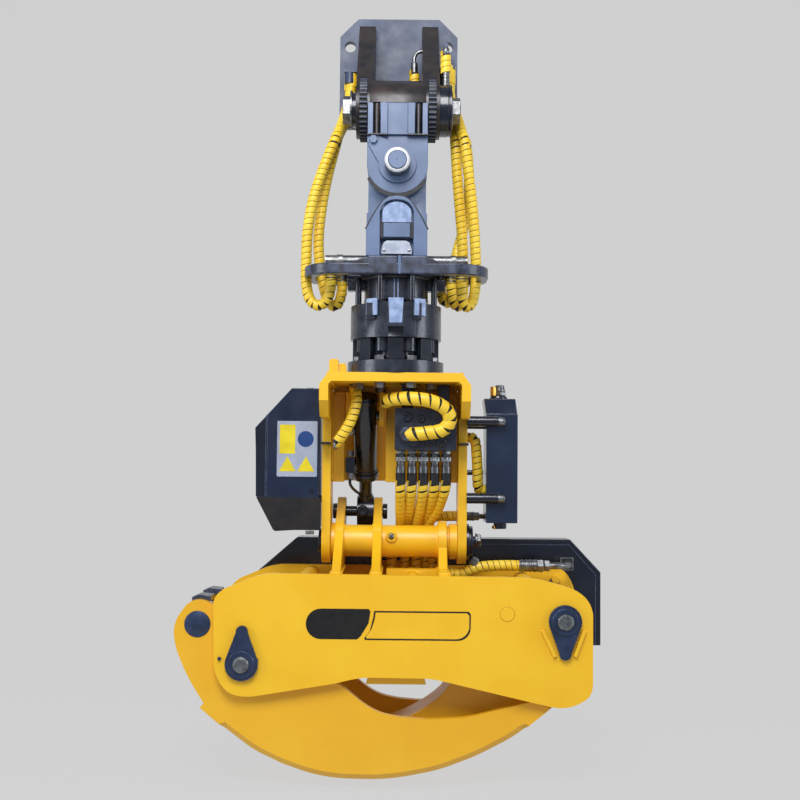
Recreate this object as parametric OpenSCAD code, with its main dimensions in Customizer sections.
// Grapple saw for an excavator or a crane: a double swing link, a hydraulic
// rotator, a tilting frame and a grab with two arms and a chain saw.
// The origin is the centre of the bolt pattern on the mounting plate's rear
// face. +X is to the right, +Y away from the viewer and +Z up. Millimetres.

/* [Mounting bracket] */
// Width of the mounting plate
plate_w = 290; // [280:1:320]
// Height of the mounting plate
plate_h = 274; // [250:1:300]
// Thickness of the mounting plate
plate_t = 20; // [16:1:25]
// Size of the plate's upper corner cuts
plate_cut = 45; // [20:1:50]
// Size of the plate's lower corner cuts
plate_cut_low = 12; // [5:1:20]
// Distance between the bolt holes across the plate
bolt_dx = 240; // [220:1:246]
// Distance between the bolt holes up the plate
bolt_dz = 133; // [100:1:160]
// Radius of the bolt holes
bolt_hole_r = 13.5; // [9:0.5:17]
// Distance from the centre to a cheek's inner face
cheek_in = 57; // [56:0.5:62]
// Thickness of a cheek
cheek_t = 39; // [36:1:45]
// Radius of the cheek's boss round the upper pin
cheek_r = 66; // [58:1:68]
// Width of the slot in a cheek
slot_w = 18; // [18:0.5:20]
// Radius of a toothed brake disc over its teeth
disc_r = 73; // [70:0.5:76]
// Number of teeth on a brake disc
disc_teeth = 40; // [24:1:48]

/* [Swing link] */
// Distance from the plate's rear face to the rotator's axis
pin_back = 190; // [185:1:230]
// Height of the upper pin below the bolt pattern's centre
pin_x_drop = 143; // [138:1:160]
// Distance between the upper and the lower pin
pin_gap = 142; // [140:1:160]
// Radius of the upper pin
pin_x_r = 30; // [24:0.5:34]
// Radius of the lower pin
pin_y_r = 28; // [22:0.5:32]
// Radius of the threaded ends of both pins
stub_r = 20; // [14:0.5:21]
// Radius of the link's upper hub
hub_r = 66; // [60:1:66]
// Half the width of the link's upper hub
hub_half = 41; // [34:1:44]
// Half the width of the link's lower clevis
link_half = 69; // [66:1:72]
// Depth of the link from front to back
link_depth = 124; // [120:1:136]
// Thickness of a clevis cheek
clevis_t = 25; // [20:1:26]
// Radius of the clevis round the lower pin
clevis_r = 70; // [60:1:72]

/* [Rotator] */
// Radius of the rotator's lug round the lower pin
lug_r = 66; // [56:1:66]
// Thickness of the lug
lug_t = 70; // [60:1:70]
// Height of the rotator's head from the lower pin to its foot
head_h = 231; // [220:1:260]
// Thickness of the hose guard
guard_t = 25; // [18:1:30]
// Half the length of the hose guard
guard_half = 210; // [200:1:220]
// Height of the stator's upper cylinder
neck_h = 64; // [60:1:80]
// Height of the stator's ring housing
ring_h = 77; // [70:1:90]
// Radius of the ring housing
ring_r = 104; // [98:1:112]
// Height of the rotor below the ring housing, without its flange
rotor_h = 51; // [45:1:60]
// Thickness of the rotor's flange
flange_t = 29; // [24:1:34]
// Radius of the rotor's flange
flange_r = 110; // [106:1:116]
// Pitch circle radius of the flange bolts
flange_pcr = 90; // [88:1:94]
// Number of flange bolts
flange_bolt_n = 8; // [6:1:10]
// Radius of a flange bolt's shank
bolt_r = 8; // [6:0.5:9]

/* [Frame] */
// Thickness of the frame's plates
frame_t = 20; // [15:1:25]
// Half the width of the frame
frame_half = 168; // [160:1:172]
// Depth of the frame's top plate
frame_depth = 216; // [205:1:230]
// Height of the frame from its top face to the tilt axis
frame_h = 382; // [370:1:400]
// Distance of the tilt axis behind the rotator's axis
tilt_back = 88; // [84:1:92]
// Radius of a side plate's round end
side_end_r = 52; // [46:1:56]
// Radius of the tilt pin
tilt_pin_r = 25; // [20:0.5:28]
// Radius of the tilt tube
tube_r = 37; // [34:0.5:40]

/* [Tilt cylinder] */
// Place of the cylinder across the frame, left of the middle
cyl_left = 70; // [68:1:72]
// Height of the trunnion below the frame's top face
trunnion_drop = 88; // [84:1:92]
// Radius of the barrel
barrel_r = 27; // [25:0.5:29]
// Length of the barrel above the trunnion
barrel_up = 50; // [44:1:52]
// Length of the barrel below the trunnion
barrel_down = 160; // [156:1:166]
// Radius of the piston rod
rod_r = 14; // [11:0.5:16]
// Distance from the tilt axis back to the rod's pin
lever_back = 95; // [92:1:98]
// Height of the rod's pin above the tilt axis
lever_up = 66; // [63:1:69]

/* [Covers and tank] */
// Width of the side cover
cover_w = 150; // [130:1:160]
// Height of the side cover
cover_h = 331; // [300:1:340]
// Depth of the side cover
cover_d = 108; // [90:1:108]
// Thickness of the cover's sheet
cover_t = 4; // [3:0.5:6]
// Width of the oil tank
tank_w = 73; // [60:1:85]
// Height of the oil tank
tank_h = 252; // [235:1:262]
// Depth of the oil tank
tank_d = 100; // [80:1:110]
// Thickness of the tank's wall
tank_wall = 5; // [3:0.5:8]
// Gap between the frame and the tank
tank_gap = 44; // [40:1:55]

/* [Grab housing] */
// Width of the housing's plates
housing_w = 830; // [815:1:845]
// Height of the housing's plates
housing_h = 286; // [276:1:296]
// Thickness of the front and rear plate
housing_t = 20; // [16:1:22]
// Distance between the outer faces of the two plates
housing_d = 290; // [286:1:296]
// Height of the tilt axis above the housing's top edge
ear_h = 62; // [58:1:66]
// Radius of the arms' pivot pins
arm_pin_r = 20; // [16:0.5:24]
// Radius of a pivot's retainer plate
retainer_r = 36; // [32:1:40]

/* [Arms] */
// Thickness of the left arm's side plates
arm_t = 20; // [14:1:20]
// Height of the left arm from its lever pin's level to its back
arm_h = 335; // [325:1:345]
// Depth of the right arm
right_d = 120; // [100:1:140]
// Thickness of the arms' rolled back strips

/* [Grab cylinder] */
// Radius of the grab cylinder's barrel
grab_r = 34; // [30:0.5:38]
// Length of the grab cylinder's barrel
grab_barrel_l = 385; // [370:1:395]
// Radius of the grab cylinder's rod
grab_rod_r = 20; // [15:0.5:22]

/* [Saw] */
// Depth of the saw box
saw_d = 80; // [70:1:90]
// Thickness of the saw box's sheet
saw_sheet = 5; // [3:0.5:6]
// Length of the saw bar from its pivot to its nose
bar_l = 600; // [560:1:640]
// Half the height of the saw bar
bar_half = 33; // [28:1:36]
// Thickness of the saw bar
bar_t = 5; // [4:0.5:6]

/* [Hidden] */

$fn = 64;
over = 1;          // how far a cut runs past a face
fit = 0.3;         // clearance of a fixed pin or bolt in its hole
run_fit = 0.05;    // radial clearance of a running pin in its bore
side_fit = 0.5;    // side clearance between moving faces

// Levels and axes worked out from the sizes above
axis_y = -pin_back;
pin_x_z = -pin_x_drop;
pin_y_z = pin_x_z - pin_gap;
guard_top = pin_y_z - head_h;
stator_top = guard_top - guard_t;
ring_top = stator_top - neck_h;
rotor_top = ring_top - ring_h;
flange_top = rotor_top - rotor_h;
frame_top = flange_top - flange_t;
tilt_y = axis_y + tilt_back;
tilt_z = frame_top - frame_h;
frame_front = axis_y - frame_depth / 2;
trunnion_y = tilt_y - 8 / 95 * lever_back;
trunnion_z = frame_top - trunnion_drop;
rod_pin_y = tilt_y + lever_back;
rod_pin_z = tilt_z + lever_up;
front_y = axis_y - 112 / 290 * housing_d;
rear_y = front_y + housing_d - housing_t;
top_z = tilt_z - ear_h;

// Helpers
// A plate that stands across Y, with its outline in X and Z
module plate_xz(points, y, t)
    translate([0, y + t, 0]) rotate([90, 0, 0]) linear_extrude(t) polygon(points);
// A plate that stands across X, with its outline in Y and Z
module plate_yz(points, x, t)
    translate([x, 0, 0]) rotate([90, 0, 90]) linear_extrude(t) polygon(points);
// A round bar along X, Y or Z, from its lower end
module bar_x(x, y, z, l, r) translate([x, y, z]) rotate([0, 90, 0]) cylinder(h = l, r = r);
module bar_y(x, y, z, l, r) translate([x, y, z]) rotate([-90, 0, 0]) cylinder(h = l, r = r);
module bar_z(x, y, z, l, r) translate([x, y, z]) cylinder(h = l, r = r);
// A hexagonal head along Y or X
module hex_y(x, y, z, l, r) translate([x, y, z]) rotate([-90, 0, 0]) cylinder(h = l, r = r, $fn = 6);
module hex_x(x, y, z, l, r) translate([x, y, z]) rotate([0, 90, 0]) cylinder(h = l, r = r, $fn = 6);
module hex_z(x, y, z, l, r) translate([x, y, z]) cylinder(h = l, r = r, $fn = 6);
module block(a, b) translate(a) cube(b - a);
// Outline points from shares of a width and a height, from a corner
function outline(shares, x, z, w, h) = [for (p = shares) [x + p[0] * w, z + p[1] * h]];
// Points on an arc from one angle to another
function arc(x, z, r, a, b, n = 10) =
    [for (i = [0:n]) [x + r * cos(a + (b - a) * i / n), z + r * sin(a + (b - a) * i / n)]];
// A toothed wheel's outline
function wheel(r, depth, n) = [for (i = [0:n - 1], k = [0:3])
    let (a = 360 * (i + k / 4) / n, q = k < 2 ? r : r - depth) [q * cos(a), q * sin(a)]];

// A tube swept along a list of points by functions
function unit(v) = v / norm(v);
function heading(p, i, a, b) = i == 0 ? a : i == len(p) - 1 ? b : unit(p[i + 1] - p[i - 1]);
function side_of(t) = unit(cross(t, abs(t[1]) < 0.8 ? [0, 1, 0] : [1, 0, 0]));
module tube(p, r, a = [0, 0, -1], b = [0, 0, -1], n = 8) {
    rings = [for (i = [0:len(p) - 1], k = [0:n - 1])
        let (t = heading(p, i, a, b), u = side_of(t), v = cross(t, u), q = 360 * k / n)
            p[i] + r * (cos(q) * u + sin(q) * v)];
    sides = [for (i = [0:len(p) - 2], k = [0:n - 1], h = [0, 1])
        let (c = i * n + k, d = i * n + (k + 1) % n)
            h == 0 ? [c, d, c + n] : [d, d + n, c + n]];
    polyhedron(points = rings, faces = concat(sides,
        [[for (k = [n - 1:-1:0]) k]], [[for (k = [0:n - 1]) (len(p) - 1) * n + k]]));
}

// Mounting bracket
module mount_plate() color("#3d4650") {
    w = plate_w / 2;
    h = plate_h / 2;
    difference() {
        plate_xz([[-w + plate_cut_low, -h], [w - plate_cut_low, -h], [w, -h + plate_cut_low],
                  [w, h - plate_cut], [w - plate_cut, h], [-w + plate_cut, h],
                  [-w, h - plate_cut], [-w, -h + plate_cut_low]], -plate_t, plate_t);
        for (x = [-1, 1], z = [-1, 1])
            bar_y(x * bolt_dx / 2, -plate_t - over, z * bolt_dz / 2, plate_t + 2 * over, bolt_hole_r);
    }
}

cheek_top = plate_h / 2 * 0.82;
slot_in = cheek_in + (cheek_t - slot_w) * 0.62;
module cheek(side) {
    x = side > 0 ? cheek_in : -cheek_in - cheek_t;
    sx = side > 0 ? slot_in : -slot_in - slot_w;
    difference() {
        union() {
            plate_yz([[-plate_t, cheek_top], [-plate_t - cheek_t, cheek_top - cheek_t / 5],
                      [axis_y - cheek_r * 0.85, pin_x_z + cheek_r * 0.53],
                      [axis_y, pin_x_z + cheek_r * 0.2], [-plate_t, pin_x_z + cheek_r * 0.2]],
                     x, cheek_t);
            bar_x(x, axis_y, pin_x_z, cheek_t, cheek_r);
        }
        bar_x(x - over, axis_y, pin_x_z, cheek_t + 2 * over, pin_x_r + fit);
        bar_x(sx, axis_y, pin_x_z, slot_w, disc_r + 2 * side_fit);
    }
}
module bracket_cheeks() color("#1b1a1a") {
    cheek(-1);
    cheek(1);
}

pin_x_end = cheek_in + cheek_t;
cap_t = 12;
brake_t = 28;
nut_t = 20;
left_end = -pin_x_end - cap_t - nut_t;
right_end = pin_x_end + brake_t + nut_t;
module swing_pin_x() color("#9a9a98") {
    bar_x(-pin_x_end, axis_y, pin_x_z, 2 * pin_x_end, pin_x_r);
    bar_x(left_end, axis_y, pin_x_z, right_end - left_end, stub_r);
}

module swing_nuts_x() color("#a9a7a0") difference() {
    union() {
        hex_x(left_end, axis_y, pin_x_z, nut_t, stub_r * 1.7);
        hex_x(right_end - nut_t, axis_y, pin_x_z, nut_t, stub_r * 1.6);
    }
    bar_x(left_end - over, axis_y, pin_x_z, right_end - left_end + 2 * over, stub_r + fit);
}

module brake_discs() color("#2a2827") for (x = [-slot_in - slot_w, slot_in])
    difference() {
        translate([x + side_fit, axis_y, pin_x_z]) rotate([90, 0, 90])
            linear_extrude(slot_w - 2 * side_fit) polygon(wheel(disc_r, disc_r / 18, disc_teeth));
        bar_x(x, axis_y, pin_x_z, slot_w, pin_x_r + fit);
    }

module brake_housings() color("#17171a") {
    difference() {
        bar_x(-pin_x_end - cap_t, axis_y, pin_x_z, cap_t, stub_r * 2);
        bar_x(-pin_x_end - cap_t - over, axis_y, pin_x_z, cap_t + 2 * over, stub_r + fit);
    }
    difference() {
        bar_x(pin_x_end, axis_y, pin_x_z, brake_t, cheek_r * 0.91);
        bar_x(pin_x_end - over, axis_y, pin_x_z, brake_t + 2 * over, stub_r + fit);
        difference() {
            bar_x(pin_x_end + brake_t * 0.7, axis_y, pin_x_z, brake_t * 0.1, cheek_r);
            bar_x(pin_x_end, axis_y, pin_x_z, brake_t, cheek_r * 0.88);
        }
    }
}

// Hydraulic unions on the bracket: stubs on the cheeks and on the brake
hose_r = 11;       // radius of a hydraulic hose
union_r = 13;      // radius of a hose union
union_l = 26;      // length of a hose union
nipple_r = 6;      // radius of a brake pipe
upper_z = -20;     // level of the upper hose ends
elbow_l = 22;      // reach of an elbow from the cheek
elbow_y = axis_y * 0.42;
brake_pipe_x = pin_x_end + brake_t / 2;
brake_top = pin_x_z + cheek_r * 0.92;
brake_pipe_l = 94; // height of the brake pipe above the brake
module elbow(side, x, y) {
    from = side > 0 ? pin_x_end : x - union_r;
    to = side > 0 ? x + union_r : -pin_x_end;
    block([from, y - union_r, upper_z], [to, y + union_r, upper_z + union_l]);
    bar_z(x, y, upper_z - union_l, union_l, union_r);
}
left_x = -pin_x_end - elbow_l;
right_x = pin_x_end + elbow_l * 1.2;
strand_gap = 30;   // distance between neighbouring hose unions
module bracket_fittings() color("#b9b7ae") {
    for (k = [0, 1])
        elbow(-1, left_x, elbow_y + k * strand_gap);
    for (k = [-1, 0, 1])
        elbow(1, right_x, elbow_y + k * strand_gap);
    bar_z(brake_pipe_x, axis_y, brake_top, brake_pipe_l, nipple_r);
    bar_y(brake_pipe_x, axis_y - nipple_r, brake_top + brake_pipe_l, -axis_y - plate_t + nipple_r, nipple_r);
}

// Swing link
link_front = axis_y - link_depth / 2;
link_back = axis_y + link_depth / 2;
shoulder_z = pin_y_z + clevis_r;
ceiling_z = pin_y_z + lug_r + 2;
module cross_link() color("#4a5560") difference() {
    union() {
        bar_x(-hub_half, axis_y, pin_x_z, 2 * hub_half, hub_r);
        bar_x(-cheek_in + side_fit, axis_y, pin_x_z, 2 * (cheek_in - side_fit), hub_r * 0.76);
        block([-hub_half, link_front + over, ceiling_z], [hub_half, link_back - over, pin_x_z]);
        for (y = [link_front, link_back - clevis_t]) {
            block([-link_half, y, pin_y_z], [link_half, y + clevis_t, shoulder_z]);
            bar_y(0, y, pin_y_z, clevis_t, link_half);
        }
        block([-link_half, link_front, ceiling_z], [link_half, link_back, shoulder_z]);
    }
    bar_x(-cheek_in, axis_y, pin_x_z, 2 * cheek_in, pin_x_r + run_fit);
    bar_y(0, link_front - over, pin_y_z, link_depth + 2 * over, pin_y_r + run_fit);
    bar_y(0, link_front + clevis_t, pin_y_z, link_depth - 2 * clevis_t, lug_r + 1.5 * over);
}

retainer_t = 6;
castle_l = 36;
castle_r = 29;
pin_y_front = link_front - retainer_t - castle_l - 4;
module swing_pin_y() color("#8d8b84") {
    bar_y(0, link_front, pin_y_z, link_depth, pin_y_r);
    bar_y(0, pin_y_front, pin_y_z, link_front - pin_y_front, stub_r);
    bar_y(0, link_back + side_fit, pin_y_z, retainer_t * 2, pin_y_r * 1.4);
    bar_y(0, link_back - over, pin_y_z, 2 * over + side_fit, pin_y_r);
}

module castle_nut() color("#8b8a84") difference() {
    y = link_front - retainer_t - castle_l;
    bar_y(0, y, pin_y_z, castle_l, castle_r);
    bar_y(0, y - over, pin_y_z, castle_l + 2 * over, stub_r + fit);
    for (a = [0, 60, 120])
        translate([0, y, pin_y_z]) rotate([0, a, 0])
            translate([-castle_r - over, -over, -castle_r / 9])
                cube([2 * (castle_r + over), castle_l / 4, castle_r / 4.5]);
}

tail = 55 / 70 * clevis_r;
module pin_retainer() color("#55595c") {
    y = link_front - retainer_t;
    difference() {
        union() {
            bar_y(0, y, pin_y_z, retainer_t, stub_r * 2.15);
            bar_y(-tail, y, pin_y_z + tail, retainer_t, stub_r * 0.7);
            plate_xz([[-tail * 0.8, pin_y_z + tail * 1.2], [-tail * 1.2, pin_y_z + tail * 0.8],
                      [-tail * 0.55, pin_y_z - tail * 0.35], [tail * 0.35, pin_y_z + tail * 0.55]],
                     y, retainer_t);
        }
        bar_y(0, y - over, pin_y_z, retainer_t + 2 * over, stub_r + fit);
    }
    hex_y(-tail, y - bolt_r, pin_y_z + tail, bolt_r, bolt_r * 1.2);
}

// Rotator head, guard and stator
head_half = 68;
head_deep = 77;     // half the depth of the head's casting
head_front = axis_y - head_deep;
head_back = axis_y + head_deep;
arch_z = pin_y_z - head_h / 3;
body_z = pin_y_z - head_h / 2;
module rotator_head() color("#3f4953") {
    difference() {
        union() {
            bar_y(0, axis_y - lug_t / 2, pin_y_z, lug_t, lug_r);
            block([-lug_r, axis_y - lug_t / 2, guard_top], [lug_r, axis_y + lug_t / 2, pin_y_z]);
            plate_xz(concat([[-head_half, guard_top], [head_half, guard_top], [head_half, body_z]],
                            arc(0, arch_z - head_half * 0.55, head_half * 0.62, 20, 160, 8),
                            [[-head_half, body_z]]), head_front, head_back - head_front);
        }
        bar_y(0, axis_y - lug_t, pin_y_z, 2 * lug_t, pin_y_r + run_fit);
        block([-head_half * 0.55, head_front - over, guard_top - over],
              [head_half * 0.55, head_front + lug_t * 0.25, arch_z - head_half * 0.15]);
    }
    block([-head_half * 0.52, head_front + lug_t * 0.1, body_z - lug_r * 0.85],
          [head_half * 0.52, head_front + lug_t * 0.25, body_z - lug_r * 0.35]);
}

guard_deep = 100;   // half the depth of the hose guard
guard_front = axis_y - guard_deep;
guard_end = 78;    // radius of the guard's ends
loop_in = 82;      // half the width of the guard's middle plate
loop_bar = 26;     // width of the guard's bars
function loop_outline(s, x0, x1, half, r) = concat([[s * x0, axis_y - half]],
    arc(s * (x1 - r), axis_y - half + r, r, -90, s > 0 ? 0 : -180, 6),
    arc(s * (x1 - r), axis_y + half - r, r, s > 0 ? 0 : 180, 90, 6), [[s * x0, axis_y + half]]);
module hose_guard() color("#1c1b1c") {
    half = guard_deep;
    translate([0, 0, stator_top]) linear_extrude(guard_t) difference() {
        union() for (s = [-1, 1])
            polygon(loop_outline(s, 0, guard_half, half, guard_end));
        for (s = [-1, 1])
            polygon(loop_outline(s, loop_in, guard_half - loop_bar, half - loop_bar, guard_end - loop_bar));
    }
    for (x = [[-64 / 68, 3 / 68], [10 / 68, 70 / 68]])
        block([x[0] * head_half, guard_front, guard_top],
              [x[1] * head_half, head_front - side_fit, guard_top + guard_t * 0.65]);
}

port_z = guard_top + union_r + 4;
under_z = stator_top - 2 * union_r;
port_low = 31;      // reach of a hose end below its elbow
left_ports = [[-150, -205], [-126, -160]];
right_ports = [[150, -205], [128, -168], [104, -138]];
module port_elbow(x, y) {
    from = x < 0 ? x - union_r : head_half + fit;
    to = x < 0 ? -head_half - fit : x + union_r;
    bar_x(from, y, port_z, to - from, union_r);
    bar_z(x, y, port_z - port_low, port_low, union_r * 0.95);
    hex_x(x < 0 ? x + union_r : x - 2 * union_r, y, port_z, union_r, union_r * 1.15);
}
module head_fittings() color("#aaa9a2")
    for (p = concat(left_ports, right_ports))
        port_elbow(p[0], p[1]);

stator_neck_r = 64;
shaft_r = 40;
rod_pcr = 94;
tie_rod_r = 6;
module rotator_stator() color("#26282b") difference() {
    union() {
        bar_z(0, axis_y, ring_top, neck_h, stator_neck_r);
        bar_z(0, axis_y, rotor_top, ring_h, ring_r);
        for (s = [-1, 1])
            block([s * loop_in * 1.2 - union_r, axis_y - union_r, under_z],
                  [s * loop_in * 1.2 + union_r, axis_y + union_r, stator_top]);
        for (s = [-1, 1])
            block([min(0, s * loop_in * 1.2), axis_y - union_r, under_z],
                  [max(0, s * loop_in * 1.2), axis_y + union_r, stator_top - union_r / 2]);
        for (x = [-ring_r * 0.54, ring_r * 0.46])
            block([x - ring_r * 0.09, axis_y - ring_r * 0.95, rotor_top + ring_h * 0.5],
                  [x + ring_r * 0.09, axis_y, ring_top - over]);
        block([-ring_r * 0.17, axis_y - ring_r * 1.06, rotor_top + ring_h * 0.3],
              [ring_r * 0.17, axis_y, ring_top - over]);
    }
    bar_z(0, axis_y, rotor_top - over, ring_h + neck_h / 2, shaft_r + run_fit);
    block([-ring_r * 0.16, axis_y - ring_r * 1.1, rotor_top + over],
          [ring_r * 0.16, axis_y - ring_r * 0.85, rotor_top + ring_h * 0.28]);
    for (k = [0:7])
        rotate_about(k) bar_z(rod_pcr, 0, rotor_top + ring_h / 2, ring_h + over, tie_rod_r + fit);
}
module rotate_about(k) translate([0, axis_y, 0]) rotate([0, 0, 22.5 + 45 * k]) children();

module stator_rods() color("#1f2022") for (k = [0:7])
    rotate_about(k) bar_z(rod_pcr, 0, rotor_top + ring_h / 2, stator_top - rotor_top - ring_h / 2, tie_rod_r);

// Hoses past the swing link: each in two parts that meet at a clamp level
left_outer_a = [[-118, -80, -46], [-124, -84, -80], [-147, -110, -131], [-165, -150, -180], [-172, -176, -215]];
left_inner_a = [[-118, -50, -46], [-120, -50, -90], [-128, -80, -140], [-142, -130, -185], [-148, -150, -215]];
right_outer_a = [[122, -110, -46], [125, -112, -90], [140, -130, -140], [153, -160, -185], [158, -176, -215]];
right_mid_a = [[122, -80, -46], [124, -82, -90], [133, -100, -140], [136, -135, -185], [136, -150, -215]];
right_inner_a = [[122, -50, -46], [124, -54, -90], [140, -74, -140], [158, -110, -185], [163, -140, -215]];
left_outer_b = [[-172, -176, -215], [-190, -184, -290], [-208, -190, -360], [-221, -194, -430],
    [-225, -196, -490], [-224, -198, -550], [-212, -200, -596], [-190, -202, -612], [-166, -204, -598],
    [-154, -205, -566], [-150, -205, -530]];
left_inner_b = [[-148, -150, -215], [-166, -152, -290], [-176, -156, -370], [-180, -159, -450],
    [-170, -160, -520], [-167, -160, -566], [-158, -160, -592], [-140, -160, -594], [-129, -160, -566],
    [-126, -160, -530]];
right_outer_b = [[158, -176, -215], [170, -178, -290], [184, -176, -360], [188, -174, -430],
    [176, -172, -490], [170, -172, -540], [170, -176, -580], [162, -186, -604], [152, -198, -596],
    [150, -204, -566], [150, -205, -530]];
right_mid_b = [[136, -150, -215], [140, -150, -290], [150, -146, -370], [160, -142, -450],
    [157, -140, -520], [156, -141, -566], [148, -148, -592], [136, -160, -590], [129, -167, -562],
    [128, -168, -530]];
right_inner_b = [[163, -140, -215], [172, -118, -290], [166, -106, -370], [146, -112, -450],
    [134, -128, -510], [134, -128, -552], [129, -131, -576], [119, -135, -584], [109, -137, -576],
    [104, -138, -552], [104, -138, -530]];
module jumper_upper() color("#f2c012") {
    for (p = [left_outer_a, left_inner_a, right_outer_a, right_mid_a, right_inner_a])
        tube(p, hose_r);
}
module jumper_lower() color("#f2c012") {
    for (p = [left_outer_b, left_inner_b, right_outer_b, right_mid_b, right_inner_b])
        tube(p, hose_r, [0, 0, -1], [0, 0, 1]);
}

// Rotor with its flange and bolts
rotor_r = 78;
gland_gap = 0.3;
module bolt_ring() for (k = [0:flange_bolt_n - 1])
    translate([0, axis_y, 0]) rotate([0, 0, 360 * (k + 0.5) / flange_bolt_n]) children();
module rotator_rotor() color("#232427") difference() {
    union() {
        bar_z(0, axis_y, rotor_top, ring_h + neck_h / 4, shaft_r);
        bar_z(0, axis_y, flange_top, rotor_h - gland_gap, rotor_r);
        bar_z(0, axis_y, frame_top, flange_t, flange_r);
        bolt_ring() translate([rotor_r, 0, flange_top + rotor_h * 0.4])
            cylinder(h = rotor_h * 0.6 - gland_gap, r = bolt_r * 2);
    }
    bolt_ring() bar_z(flange_pcr, 0, frame_top - over, flange_t + 2 * over, bolt_r + fit);
    bolt_ring() bar_z(flange_pcr, 0, flange_top, rotor_h * 0.4 + over, bolt_r * 2);
}
module flange_bolts() color("#a8a69e") bolt_ring() {
    bar_z(flange_pcr, 0, frame_top - frame_t - bolt_r, flange_t + frame_t + 2 * bolt_r, bolt_r);
    hex_z(flange_pcr, 0, flange_top, bolt_r * 1.3, bolt_r * 1.6);
    hex_z(flange_pcr, 0, frame_top - frame_t - bolt_r * 1.6, bolt_r * 1.6, bolt_r * 1.6);
}

// Frame
side_top = frame_top - frame_t * 1.35;
step_z = frame_top - frame_h * 0.26;
step_y = tilt_y - side_end_r - 2;
module frame_top_plate() color("#f5c20a") difference() {
    i = frame_half - frame_t;
    plate_xz([[-i, frame_top], [i, frame_top], [frame_half, side_top], [i, side_top],
              [i - frame_t / 3, frame_top - frame_t], [-i + frame_t / 3, frame_top - frame_t],
              [-i, side_top], [-frame_half, side_top]], frame_front, frame_depth);
    bolt_ring() bar_z(flange_pcr, 0, frame_top - frame_t - over, frame_t + 2 * over, bolt_r + fit);
    bar_z(0, axis_y, frame_top - frame_t - over, frame_t + 2 * over, rotor_r * 0.6);
}
module frame_side_plates() color("#f5c20a") for (x = [-frame_half, frame_half - frame_t]) difference() {
    union() {
        plate_yz([[frame_front, side_top], [frame_front + frame_depth, side_top],
                  [tilt_y + side_end_r, side_top - frame_depth / 3], [tilt_y + side_end_r, tilt_z],
                  [tilt_y - side_end_r, tilt_z], [step_y, step_z],
                  [frame_front + frame_depth * 0.16, step_z + over],
                  [frame_front, side_top - frame_depth / 6]], x, frame_t);
        bar_x(x, tilt_y, tilt_z, frame_t, side_end_r);
    }
    bar_x(x - over, tilt_y, tilt_z, frame_t + 2 * over, tilt_pin_r + fit);
}
back_t = 15;
back_front = frame_front + frame_depth - back_t;
back_low = frame_top - frame_h * 0.64;
module frame_back_plate() color("#e8b60a") difference() {
    i = frame_half - frame_t;
    block([-i, back_front, back_low], [i, back_front + back_t, frame_top - frame_t * 1.75]);
    block([-cyl_left - barrel_r * 1.8, back_front - over, back_low - over],
          [-cyl_left + barrel_r * 1.8, back_front + back_t + over, frame_top]);
    bar_y(-i / 4, back_front - over, (frame_top + back_low) / 2, back_t + 2 * over, bolt_r * 1.5);
}

cap_w = 16;
module tilt_pin() color("#9b9a96")
    bar_x(-frame_half - cap_w / 2, tilt_y, tilt_z, 2 * frame_half + cap_w, tilt_pin_r);
module pin_cap() color("#1a1a1c") {
    for (x = [frame_half, -frame_half - cap_w / 2]) difference() {
        bar_x(x, tilt_y, tilt_z, cap_w / 2, x > 0 ? side_end_r * 0.8 : tilt_pin_r + cap_w / 6);
        bar_x(x - over, tilt_y, tilt_z, cap_w / 2 + 2 * over, tilt_pin_r + fit);
    }
    bar_x(frame_half + cap_w / 2, tilt_y, tilt_z, cap_w / 2, side_end_r * 0.7);
    hex_x(frame_half + cap_w, tilt_y, tilt_z, bolt_r, bolt_r * 1.6);
}

// Tilt cylinder on its trunnion
cyl_x = -cyl_left;
trunnion_r = 12;
trunnion_half = 45;
bracket_t = 12;
module trunnion_brackets() color("#e8b60a") for (x = [cyl_x - trunnion_half, cyl_x + trunnion_half - bracket_t])
    difference() {
        union() {
            block([x, trunnion_y - barrel_r, trunnion_z], [x + bracket_t, trunnion_y + barrel_r, frame_top - frame_t - bolt_r * 1.8]);
            bar_x(x, trunnion_y, trunnion_z, bracket_t, barrel_r);
            block([x, trunnion_y + barrel_r * 0.68, trunnion_z], [x + bracket_t, trunnion_y + barrel_r, frame_top - frame_t]);
        }
        bar_x(x - over, trunnion_y, trunnion_z, bracket_t + 2 * over, trunnion_r + run_fit);
    }
cyl_span = norm([rod_pin_y - trunnion_y, rod_pin_z - trunnion_z]);
cyl_turn = atan2(rod_pin_y - trunnion_y, trunnion_z - rod_pin_z);
// Draws its children along the cylinder, with +Z up the barrel
module along_cyl() translate([cyl_x, trunnion_y, trunnion_z]) rotate([cyl_turn, 0, 0]) children();
piston_top = barrel_up - 14;
module tilt_barrel() color("#16161a") {
    along_cyl() difference() {
        union() {
            cylinder(h = barrel_up, r = barrel_r);
            translate([0, 0, -barrel_down]) cylinder(h = barrel_down + over, r = barrel_r);
            translate([0, 0, -barrel_down]) cylinder(h = rod_r, r = barrel_r * 1.1);
        }
        translate([0, 0, -barrel_down + rod_r]) cylinder(h = barrel_up + barrel_down - rod_r - 10, r = barrel_r - 6);
        translate([0, 0, -barrel_down - over]) cylinder(h = rod_r + 2 * over, r = rod_r + run_fit);
    }
    for (s = [0, 1])
        bar_x(s == 0 ? cyl_x - trunnion_half : cyl_x + barrel_r - 2, trunnion_y, trunnion_z,
              trunnion_half - barrel_r + 2, trunnion_r);
}
eye_play = 18.5;   // free play round the rod's pin
rod_pin_r = 12.5;
eye_r = 38;
eye_half = 20;
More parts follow.
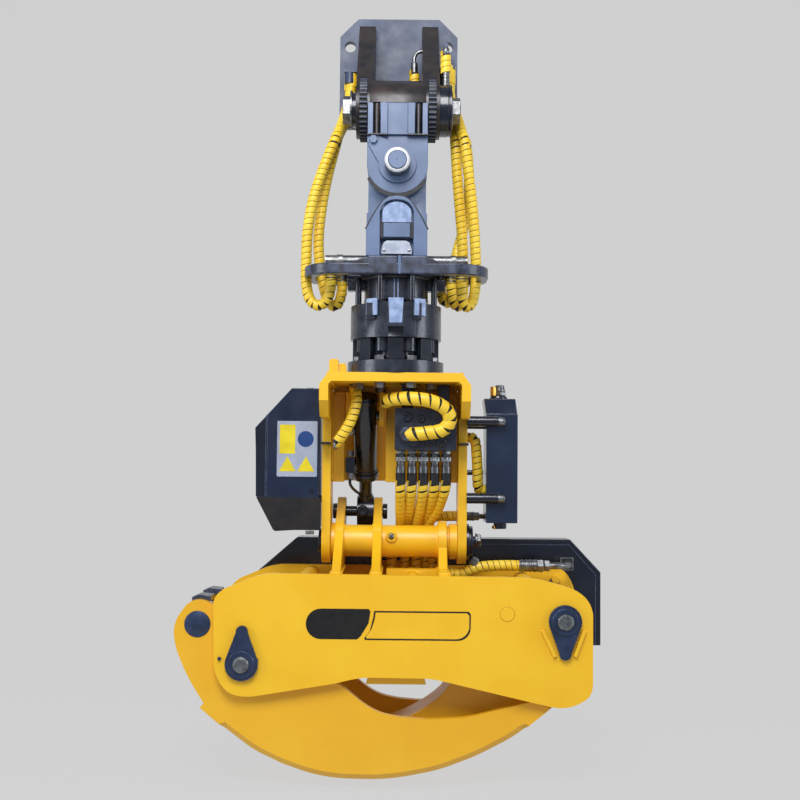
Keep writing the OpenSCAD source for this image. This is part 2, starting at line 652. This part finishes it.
module tilt_rod() color("#c9ccd0") difference() {
    union() {
        along_cyl() {
            translate([0, 0, -cyl_span + eye_r * 0.9]) cylinder(h = cyl_span - eye_r * 0.9 + piston_top - 24, r = rod_r);
            translate([0, 0, piston_top - 24]) cylinder(h = 24, r = barrel_r - 6 - run_fit);
            translate([0, 0, -cyl_span + eye_r * 0.7]) cylinder(h = eye_r * 0.5, r = rod_r * 1.25);
        }
        bar_x(cyl_x - eye_half, rod_pin_y, rod_pin_z, 2 * eye_half, eye_r);
    }
    bar_x(cyl_x - eye_half - over, rod_pin_y, rod_pin_z, 2 * (eye_half + over), rod_pin_r + eye_play);
}

// Side cover, a folded sheet box on the left side plate
cover_y = tilt_y - side_end_r - 6;
cover_right = -frame_half - 6;
cover_top = frame_top - 28;
cover_shares = [[0, -0.98], [-0.68, -1], [-0.96, -0.77], [-1, -0.28], [-0.44, 0], [0, 0]];
module side_cover() color("#141416") {
    difference() {
        plate_xz(outline(cover_shares, cover_right, cover_top, cover_w, cover_h), cover_y, cover_d);
        plate_xz([for (p = cover_shares)
                [cover_right - cover_w / 2 + (p[0] + 0.5) * (cover_w - 2 * cover_t),
                 cover_top - cover_h / 2 + (p[1] + 0.5) * (cover_h - 2 * cover_t)]],
                cover_y + cover_t, cover_d);
    }
    for (z = [0.2, 0.8])
        block([cover_right - over, cover_y + cover_d * 0.5, cover_top - cover_h * z],
              [-frame_half, cover_y + cover_d * 0.7, cover_top - cover_h * z + 4 * cover_t]);
}
module cover_bolts() color("#b6b4ab") {
    for (z = [0.32, 0.72])
        hex_y(cover_right - cover_w * 0.12, cover_y - bolt_r * 0.6, cover_top - cover_h * z, bolt_r * 0.6, bolt_r);
    hex_y(cover_right - cover_w * 0.45, cover_y - bolt_r * 0.6, cover_top - cover_h * 0.93, bolt_r * 0.6, bolt_r);
}

// Oil tank on two spacers beside the right side plate
tank_x = frame_half + tank_gap;
tank_y = tilt_y - side_end_r - 4;
tank_top = frame_top - 84;
tank_mid_x = tank_x + tank_w / 2;
spacer_r = 11;
spacer_y = tilt_y - side_end_r * 0.2;
spacer_share = 0.09;
spacer_low_share = 0.77;
module spacer_at() for (z = [spacer_share, spacer_low_share])
    translate([0, 0, tank_top - tank_h * z]) children();
module oil_tank() color("#181b20") difference() {
    union() {
        block([tank_x, tank_y, tank_top - tank_h], [tank_x + tank_w, tank_y + tank_d, tank_top]);
        plate_xz([[tank_x, tank_top], [tank_x + tank_w, tank_top], [tank_x + tank_w - tank_wall, tank_top + tank_w / 2],
                  [tank_x - tank_wall, tank_top + tank_w / 2]], tank_y + tank_wall * 2, tank_d - tank_wall * 4);
        bar_z(tank_mid_x, tank_y + tank_d / 2, tank_top - tank_h - tank_wall * 3, tank_wall * 3 + over, spacer_r * 1.4);
    }
    block([tank_x + tank_wall, tank_y + tank_wall, tank_top - tank_h + tank_wall],
          [tank_x + tank_w - tank_wall, tank_y + tank_d - tank_wall, tank_top - tank_wall]);
}
filler_z = tank_top + tank_w / 2;
module tank_filler() color("#1b1b1d") {
    bar_z(tank_mid_x - tank_wall, tank_y + tank_d / 2, filler_z, 8, spacer_r * 1.9);
    bar_z(tank_mid_x - tank_wall, tank_y + tank_d / 2, filler_z + 8, 14, spacer_r * 1.5);
    bar_z(tank_mid_x - tank_wall, tank_y + tank_d / 2, filler_z + 22, 12, spacer_r * 0.9);
}
module tank_spacers() color("#101012") spacer_at() {
    bar_x(frame_half, spacer_y, 0, tank_gap, spacer_r);
}
tank_hose_shares = [[0, 0], [0.32, -4], [0.5, -30], [0.59, -60], [0.68, -90], [0.82, -108], [1, -110]];
tank_hose_path = [for (p = tank_hose_shares)
    [frame_half + tank_gap * p[0], spacer_y + spacer_r / 4, tank_top - tank_h * 0.21 + p[1]]];
module tank_hose() color("#1a1a1c")
    tube(tank_hose_path, hose_r * 0.6, [1, 0, 0], [1, 0, 0]);

// Valve block under the top plate
valve_y = frame_front + 58;
valve_back = 92;
valve_right = frame_half - frame_t - 9;
valve_w = 139;
valve_top = frame_top - 76;
valve_h = 94;
fitting_y = tilt_y - side_end_r + 8;
fitting_l = 74;     // length of a hose end below the valve
fitting_shares = [0.1, 0.29, 0.48, 0.67, 0.86];
module valve_block() color("#1d1e21") {
    block([valve_right - valve_w, valve_y, valve_top - valve_h], [valve_right, valve_y + valve_back, valve_top]);
    bar_y(valve_right - valve_w * 0.7, valve_y - 8, valve_top - valve_h * 0.78, 8, union_r);
    for (x = [0.2, 0.8])
        block([valve_right - valve_w * x - union_r, valve_y + valve_back - 2 * union_r, valve_top],
              [valve_right - valve_w * x + union_r, valve_y + valve_back, frame_top - frame_t]);
}
fit_low = valve_top - valve_h;
module valve_fittings() color("#b3b2ac") for (s = fitting_shares) {
    x = valve_right - valve_w * (1 - s);
    bar_z(x, fitting_y, fit_low - fitting_l / 2 - over, fitting_l / 2 + over, hose_r * 0.8);
    hex_z(x, fitting_y, fit_low - fitting_l * 0.3, fitting_l * 0.19, hose_r * 1.1);
    bar_z(x, fitting_y, fit_low - fitting_l, fitting_l / 2, hose_r);
}
// The loop hose on the valve's front: shares of the valve's width and of the
// loop's reach, and the height above the valve's middle
loop_reach = 50;
loop_shares = [[0.07, 0, 17], [0.07, 0.44, 19], [0.14, 0.88, 33], [0.42, 1, 43], [0.68, 0.88, 33], [0.75, 0.44, 17],
    [0.75, 0, 15]];
loop_path = [for (p = loop_shares)
    [valve_right - valve_w * (1 - p[0]), valve_y - loop_reach * p[1], valve_top - valve_h / 2 + p[2]]];
module loop_hoses() color("#161617")
    tube(loop_path, hose_r * 0.9, [0, -1, 0], [0, 1, 0]);
// A feed hose from a hose end on the valve, at a share of its width, to a share
// of the bulkhead's width on the housing; each pair is a share of the drop and
// one of the hose's bow towards the front
feed_bow = 26;
feed_shares = [[0, 0], [0.17, 0.04], [0.37, 0.54], [0.62, 1], [0.87, 0.62], [1, 0.15]];
function feed(from, to) = let (z = fit_low - fitting_l) [for (p = feed_shares)
    [from + (to - from) * min(1, p[0] * 1.15), fitting_y - feed_bow * p[1], z + (top_z + over - z) * p[0]]];
module feed_hoses() color("#f2c012") for (k = [0:len(fitting_shares) - 1])
    tube(feed(valve_right - valve_w * (1 - fitting_shares[k]), port_block_x + port_block_w * (0.2 * k - 0.4)), hose_r);

// Grab housing: front and rear plate, spacers and ears
hx = -393 / 830 * housing_w;
hr = hx + housing_w;
front_shares = [[0.0, -0.2], [0.02, -0.13], [0.07, -0.07], [0.127, 0], [0.843, -0.015], [0.93, -0.08],
    [0.972, -0.13], [1, -0.24], [1, -0.85], [0.99, -0.92], [0.955, -0.98], [0.92, -1], [0.89, -0.99],
    [0.6, -0.8], [0.57, -0.785], [0.39, -0.78], [0.32, -0.83], [0.09, -0.94], [0.04, -0.91], [0.005, -0.76]];
rear_shares = [[0.0, -0.2], [0.02, -0.13], [0.07, -0.07], [0.127, 0], [0.963, 0], [1, -0.18],
    [1, -0.85], [0.99, -0.92], [0.955, -0.98], [0.92, -1], [0.89, -0.99],
    [0.6, -0.8], [0.57, -0.785], [0.39, -0.78], [0.32, -0.83], [0.09, -0.94], [0.04, -0.91], [0.005, -0.76]];
left_px = hx + housing_w * 0.078;
left_pz = top_z - housing_h * 0.685;
right_px = hx + housing_w * 0.926;
right_pz = top_z - housing_h * 0.343;
base_px = hx + housing_w * 0.775;
base_pz = top_z - housing_h * 0.294;
module pin_holes(y, t) {
    bar_y(left_px, y - over, left_pz, t + 2 * over, arm_pin_r + fit);
    bar_y(right_px, y - over, right_pz, t + 2 * over, arm_pin_r + fit);
    bar_y(base_px, y - over, base_pz, t + 2 * over, grab_pin_r + fit);
}
grab_pin_r = 16;
module front_plate() color("#f7c40c") difference() {
    plate_xz(outline(front_shares, hx, top_z, housing_w, housing_h), front_y, housing_t);
    pin_holes(front_y, housing_t);
}
module rear_plate() color("#f2bf0a") difference() {
    plate_xz(outline(rear_shares, hx, top_z, housing_w, housing_h), rear_y, housing_t);
    pin_holes(rear_y, housing_t);
}
mid_front = front_y + housing_t;
mid_d = housing_d - 2 * housing_t;
spacer_bar_r = 18;
port_block_x = hx + housing_w * 0.525;
port_block_w = 118;
module housing_spacers() color("#e8b60a") {
    for (p = [[0.235, 0.07], [0.84, 0.1], [0.525, 0.065]])
        bar_y(hx + housing_w * p[0], mid_front, top_z - housing_h * p[1], mid_d, spacer_bar_r);
    block([port_block_x - port_block_w / 2, tilt_y - tube_r * 1.9, top_z - housing_h * 0.1],
          [port_block_x + port_block_w / 2, tilt_y - tube_r * 0.7, top_z + over]);
    hex_y(hx + housing_w * 0.942, rear_y - bolt_r, top_z - housing_h * 0.105, bolt_r, bolt_r * 1.3);
}

// Ears that carry the tilt tube and the cylinder's rod pin
ear_t = frame_t;
ear_xs = [-137, -49, 103] / 168 * frame_half;
ear_boss = tube_r * 0.92;
module ear(x, lever) difference() {
    union() {
        plate_yz([[front_y + housing_t, top_z - ear_t], [front_y + housing_t, top_z + ear_h * 0.05],
                  lever ? [front_y + 2 * housing_t, top_z + ear_h * 0.1]
                        : [tilt_y - ear_h * 1.45, top_z + ear_h * 0.08],
                  lever ? [tilt_y - tube_r * 0.9, tilt_z + tube_r * 0.8] : [tilt_y - tube_r * 1.2, tilt_z - tube_r * 0.3],
                  [tilt_y - tube_r * 0.7, tilt_z + tube_r * 0.8],
                  [tilt_y + tube_r * 0.9, tilt_z + tube_r * 0.8],
                  [rear_y, top_z + ear_h * 0.2], [rear_y, top_z - ear_t]], x, ear_t);
        bar_x(x, tilt_y, tilt_z, ear_t, tube_r * 1.3);
        if (lever) {
            bar_x(x, rod_pin_y, rod_pin_z, ear_t, ear_boss);
            plate_yz([[tilt_y - tube_r * 0.8, tilt_z + tube_r], [rod_pin_y - ear_boss * 0.6, rod_pin_z + ear_boss * 0.8],
                      [rod_pin_y + ear_boss * 0.9, rod_pin_z - ear_boss * 0.4],
                      [saw_y - 2 * over, top_z + ear_h * 1.15], [rear_y, top_z]], x, ear_t);
        }
    }
    bar_x(x - over, tilt_y, tilt_z, ear_t + 2 * over, tube_r + fit);
    if (lever) bar_x(x - over, rod_pin_y, rod_pin_z, ear_t + 2 * over, rod_pin_r + fit);
}
module pivot_ears() color("#f7c40c") {
    ear(ear_xs[0], true);
    ear(ear_xs[1], true);
    ear(ear_xs[2], false);
}
tube_l = ear_xs[0];
tube_end = ear_xs[2] + ear_t + 6;
module tilt_tube() color("#f7c40c") difference() {
    bar_x(tube_l, tilt_y, tilt_z, tube_end - tube_l, tube_r);
    bar_x(tube_l - over, tilt_y, tilt_z, tube_end - tube_l + 2 * over, tilt_pin_r + 5);
}
module tilt_bushes() color("#c08a3a") {
    i = frame_half - frame_t - side_fit;
    for (x = [-i, tube_end]) difference() {
        bar_x(x, tilt_y, tilt_z, x < 0 ? tube_l + i : i - tube_end, tube_r * 1.12);
        bar_x(x - over, tilt_y, tilt_z, i, tilt_pin_r + run_fit);
    }
}
module rod_pin() color("#9b9a96") {
    bar_x(ear_xs[0] - 6, rod_pin_y, rod_pin_z, ear_xs[1] - ear_xs[0] + ear_t + 12, rod_pin_r);
    bar_x(ear_xs[0] - 12, rod_pin_y, rod_pin_z, 11, rod_pin_r * 1.5);
    bar_x(ear_xs[1] + ear_t + 1, rod_pin_y, rod_pin_z, 11, rod_pin_r * 1.5);
}

retainer_plate_t = 10;
module pivot_pin(x, z) {
    bar_y(x, front_y - retainer_plate_t, z, housing_d + retainer_plate_t, arm_pin_r);
    hex_y(x, front_y - retainer_plate_t - bolt_r * 1.4, z, bolt_r * 1.4, bolt_r * 2);
}
module arm_pins() color("#a2a19c") {
    pivot_pin(left_px, left_pz);
    pivot_pin(right_px, right_pz);
}
tail_l = 70;
module retainer(x, z, up) difference() {
    y = front_y - retainer_plate_t;
    union() {
        bar_y(x, y, z, retainer_plate_t, retainer_r);
        bar_y(x, y, z + up * tail_l, retainer_plate_t, retainer_r * 0.36);
        plate_xz([[x - retainer_r * 0.95, z + up * retainer_r * 0.3], [x + retainer_r * 0.95, z + up * retainer_r * 0.3],
                  [x + retainer_r * 0.34, z + up * tail_l], [x - retainer_r * 0.34, z + up * tail_l]], y, retainer_plate_t);
    }
    bar_y(x, y - over, z, retainer_plate_t + 2 * over, arm_pin_r + fit);
}
module pivot_retainers() color("#3a3d3f") {
    retainer(left_px, left_pz, 1);
    retainer(right_px, right_pz, -1);
}
module grab_base_pin() color("#a2a19c")
    bar_y(base_px, front_y, base_pz, housing_d, grab_pin_r);

// Left arm: two side plates, cross bars and a rolled back strip
arm_gap = 2;
arm_l = housing_w * 1.0036;
arm_front = mid_front + arm_gap;
arm_back = rear_y - arm_gap - arm_t;
ax = left_px - arm_l * 0.186;
at = left_pz + arm_h * 0.403;
lever_x = ax + arm_l * 0.064;
lever_z = at - arm_h * 0.158;
left_shares = [[0, -0.15], [0.043, 0], [0.09, 0], [0.15, -0.14], [0.26, -0.3], [0.31, -0.45], [0.44, -0.53],
    [0.5, -0.66], [0.54, -0.72], [0.59, -0.75], [0.67, -0.765], [0.78, -0.75], [0.87, -0.69],
    [0.95, -0.64], [0.983, -0.675], [0.9, -0.81], [0.8, -0.93], [0.7, -1.03], [0.6, -1.075], [0.54, -1.09],
    [0.44, -1.08], [0.37, -1.05], [0.3, -1.0], [0.23, -0.91], [0.155, -0.8], [0.085, -0.675], [0.04, -0.5], [0.005, -0.3]];
strip_in_shares = [[0.085, -0.675], [0.155, -0.8], [0.23, -0.91], [0.3, -1.0], [0.37, -1.05], [0.44, -1.08],
    [0.54, -1.09], [0.6, -1.075], [0.7, -1.03], [0.8, -0.93], [0.9, -0.81], [0.983, -0.675]];
strip_out_shares = [[1, -0.68], [0.905, -0.87], [0.805, -1.0], [0.705, -1.095], [0.605, -1.145],
    [0.54, -1.16], [0.435, -1.155], [0.365, -1.125], [0.29, -1.06], [0.215, -0.975], [0.137, -0.83], [0.074, -0.7]];
module left_arm() color("#f7c40c") difference() {
    union() {
        for (y = [arm_front, arm_back])
            plate_xz(outline(left_shares, ax, at, arm_l, arm_h), y, arm_t);
        plate_xz(outline(concat(strip_in_shares, strip_out_shares), ax, at, arm_l, arm_h),
                 arm_front, arm_back + arm_t - arm_front);
        for (y = [arm_front, arm_back])
            bar_y(left_px, y, left_pz, arm_t, arm_pin_r * 2);
        bar_y(ax + arm_l * 0.1, arm_front, at - arm_h * 0.52, arm_back + arm_t - arm_front, spacer_bar_r);
    }
    bar_y(left_px, arm_front - over, left_pz, arm_back + arm_t - arm_front + 2 * over, arm_pin_r + run_fit);
    for (y = [arm_front, arm_back])
        bar_y(lever_x, y - over, lever_z, arm_t + 2 * over, lever_pin_r + fit);
}
lever_pin_r = 18;
module left_lever_pin() color("#8f8e89") {
    bar_y(lever_x, arm_front - arm_gap / 2, lever_z, arm_back + arm_t - arm_front + arm_gap, lever_pin_r);
}

// Right arm: a narrower box that closes inside the left arm
right_front = front_y + (housing_d - right_d) / 2;
right_w = arm_l * 0.6243;
right_h = arm_h * 1.1045;
right_shares = [[-0.1, 0.08], [-0.08, 0.13], [0, 0.16], [0.08, 0.13], [0.112, 0.02], [0.108, -0.12], [0.065, -0.29],
    [0, -0.41], [-0.077, -0.475], [-0.165, -0.56], [-0.28, -0.645], [-0.415, -0.715], [-0.55, -0.765],
    [-0.685, -0.79], [-0.8, -0.79], [-0.875, -0.76], [-0.8, -0.69], [-0.72, -0.645], [-0.65, -0.608],
    [-0.577, -0.55], [-0.512, -0.48], [-0.48, -0.42], [-0.42, -0.32], [-0.33, -0.24], [-0.2, -0.17], [-0.13, -0.08]];
right_cut_shares = [[0.01, -0.2], [0.05, -0.24], [0, -0.35], [-0.09, -0.43], [-0.18, -0.51], [-0.29, -0.59],
    [-0.42, -0.66], [-0.5, -0.69], [-0.56, -0.64], [-0.48, -0.56], [-0.4, -0.42], [-0.3, -0.33], [-0.18, -0.25]];
module right_arm() color("#f2bd08") difference() {
    plate_xz(outline(right_shares, right_px, right_pz, right_w, right_h), right_front, right_d);
    plate_xz(outline(right_cut_shares, right_px, right_pz, right_w, right_h),
             right_front + arm_t, right_d - 2 * arm_t);
    bar_y(right_px, right_front - over, right_pz, right_d + 2 * over, arm_pin_r + run_fit);
}

// Grab cylinder between the housing and the left arm's lever
grab_mid = front_y + housing_d / 2;
grab_span = norm([lever_x - base_px, lever_z - base_pz]);
grab_turn = atan2(lever_x - base_px, lever_z - base_pz);
grab_eye_half = 25;
module along_grab() translate([base_px, grab_mid, base_pz]) rotate([0, grab_turn, 0]) children();
module grapple_barrel() color("#17171a") difference() {
    union() {
        along_grab() translate([0, 0, grab_r * 0.8]) cylinder(h = grab_barrel_l - grab_r * 0.8, r = grab_r);
        bar_y(base_px, grab_mid - grab_eye_half, base_pz, 2 * grab_eye_half, grab_r);
    }
    along_grab() translate([0, 0, 2 * grab_r]) cylinder(h = grab_barrel_l - 2 * grab_r - 20, r = grab_r - 7);
    along_grab() translate([0, 0, grab_barrel_l - 30]) cylinder(h = 40, r = grab_rod_r + run_fit);
    bar_y(base_px, grab_mid - grab_eye_half - over, base_pz, 2 * (grab_eye_half + over), grab_pin_r + run_fit);
}
grab_play = 11;
grab_eye_r = 42;
piston_at = 240;
module grapple_rod() color("#d0d3d6") difference() {
    union() {
        along_grab() {
            translate([0, 0, piston_at]) cylinder(h = grab_span - piston_at - grab_eye_r * 0.9, r = grab_rod_r);
            translate([0, 0, piston_at]) cylinder(h = 30, r = grab_r - 7 - run_fit);
        }
        bar_y(lever_x, grab_mid - grab_eye_half, lever_z, 2 * grab_eye_half, grab_eye_r);
    }
    bar_y(lever_x, grab_mid - grab_eye_half - over, lever_z, 2 * (grab_eye_half + over), lever_pin_r + grab_play);
}

// Saw: a sheet box behind the housing, its motor, bar and chain
saw_y = front_y + housing_d + fit;
saw_x0 = hx + housing_w * 0.07;
saw_x1 = hx + housing_w * 1.077;
saw_top = top_z + housing_h * 0.224;
saw_low = top_z - housing_h * 0.315;
saw_side_low = top_z - housing_h * 0.664;
saw_px = hx + housing_w * 1.02;
saw_pz = top_z - housing_h * 0.155;
module saw_outline(m) plate_xz(
    [[saw_x0 + m, saw_low - m / 4], [saw_x0 + m, top_z - housing_h * 0.08], [saw_x0 + housing_w * 0.12 + m / 2, saw_top - m],
     [hr - housing_w * 0.012 - m / 2, saw_top - m], [saw_x1 - m, top_z - housing_h * 0.05 - m / 2],
     [saw_x1 - m, saw_side_low - m / 4], [hr - housing_w * 0.012, saw_side_low - m / 4],
     [hr - housing_w * 0.096, saw_low - m / 4]], saw_y + m, saw_d - 2 * m);
module saw_box() color("#141517") difference() {
    saw_outline(0);
    saw_outline(saw_sheet);
}
bar_y0 = saw_y + saw_d / 2 + bar_t;
sleeve_r = 20;     // radius of the sleeve that the bar's holder turns on
saw_shaft_r = 8;   // radius of the motor's shaft
holder_t = 10;     // thickness of the bar's holder
gear_r = 30;       // radius of the chain's drive sprocket
sleeve_end = bar_y0 - 3;
module saw_motor() color("#202124") {
    bar_y(saw_px, saw_y + saw_sheet, saw_pz, sleeve_end - saw_y - saw_sheet - holder_t - side_fit, sleeve_r * 1.4);
    bar_y(saw_px, saw_y + saw_sheet, saw_pz, sleeve_end - saw_y - saw_sheet, sleeve_r);
}
// The wheel and the end of the motor's shaft, which carries it
module drive_sprocket() color("#8f8d86") {
    translate([saw_px, bar_y0 + bar_t, saw_pz]) rotate([90, 0, 0]) linear_extrude(bar_t)
        polygon(wheel(gear_r, gear_r / 6, 10));
    bar_y(saw_px, sleeve_end + side_fit, saw_pz, bar_y0 + 2 * bar_t - sleeve_end - side_fit, saw_shaft_r);
}
nose_x = saw_px - bar_l;
bar_root = gear_r * 1.6;
module saw_bar() color("#9fa3a6") difference() {
    union() {
        plate_xz(concat([[saw_px - bar_root, saw_pz + bar_half * 0.85], [saw_px - bar_root, saw_pz - bar_half * 0.85]],
                        arc(nose_x, saw_pz, bar_half, 270, 90, 12)), bar_y0, bar_t);
        bar_y(saw_px, sleeve_end - holder_t, saw_pz, holder_t - side_fit, sleeve_r * 1.7);
        block([saw_px - bar_root * 2.6, sleeve_end - holder_t, saw_pz - sleeve_r],
              [saw_px, sleeve_end - side_fit, saw_pz + sleeve_r]);
        block([saw_px - bar_root * 2.6, sleeve_end - holder_t, saw_pz - sleeve_r],
              [saw_px - bar_root * 1.2, bar_y0 + over, saw_pz + sleeve_r]);
    }
    bar_y(saw_px, sleeve_end - holder_t - over, saw_pz, holder_t + 2 * over, sleeve_r + run_fit);
}
chain_h = 7;       // height of the chain's links beyond the bar
chain_t = 5;       // width of the chain
module chain_outline(m) polygon(concat(arc(saw_px, saw_pz, gear_r + 1.2 + m, 90, -90, 12),
                                       arc(nose_x, saw_pz, bar_half + fit + m, 270, 90, 12)));
module saw_chain() color("#6f6e69")
    translate([0, bar_y0 + bar_t, 0]) rotate([90, 0, 0]) linear_extrude(chain_t) difference() {
        chain_outline(chain_h);
        chain_outline(0);
    }
// The route: a share of the way from the ear to the saw box, Y, and the height
// above the housing's top edge
saw_route = [[0, -80, -10], [0.08, -84, -9], [0.19, -94, -5], [0.31, -101, 10], [0.45, -102, 14],
    [0.62, -102, 15], [0.83, -102, 16], [0.93, -96, 18], [0.985, -72, 20], [1, -40, 20], [1, -12, 20]];
saw_hose_x0 = ear_xs[2] + ear_t;
saw_hose_x1 = saw_px - gear_r * 1.52;
saw_hose_path = [for (p = saw_route)
    [saw_hose_x0 + p[0] * (saw_hose_x1 - saw_hose_x0), p[1], top_z + p[2]]];
module saw_hose() color("#1c1c1e")
    tube(saw_hose_path, hose_r, [1, 0, 0], [0, 1, 0]);

mount_plate();
bracket_cheeks();
swing_pin_x();
swing_nuts_x();
brake_discs();
brake_housings();
bracket_fittings();
cross_link();
swing_pin_y();
castle_nut();
pin_retainer();
rotator_head();
hose_guard();
head_fittings();
rotator_stator();
stator_rods();
jumper_upper();
jumper_lower();
rotator_rotor();
flange_bolts();
frame_top_plate();
frame_side_plates();
frame_back_plate();
tilt_pin();
pin_cap();
trunnion_brackets();
side_cover();
cover_bolts();
oil_tank();
tank_filler();
tank_spacers();
tank_hose();
valve_block();
valve_fittings();
loop_hoses();
feed_hoses();
tilt_barrel();
tilt_rod();
front_plate();
rear_plate();
housing_spacers();
pivot_ears();
tilt_tube();
tilt_bushes();
rod_pin();
arm_pins();
pivot_retainers();
grab_base_pin();
saw_box();
saw_motor();
saw_hose();
left_arm();
left_lever_pin();
right_arm();
grapple_barrel();
grapple_rod();
saw_bar();
saw_chain();
drive_sprocket();
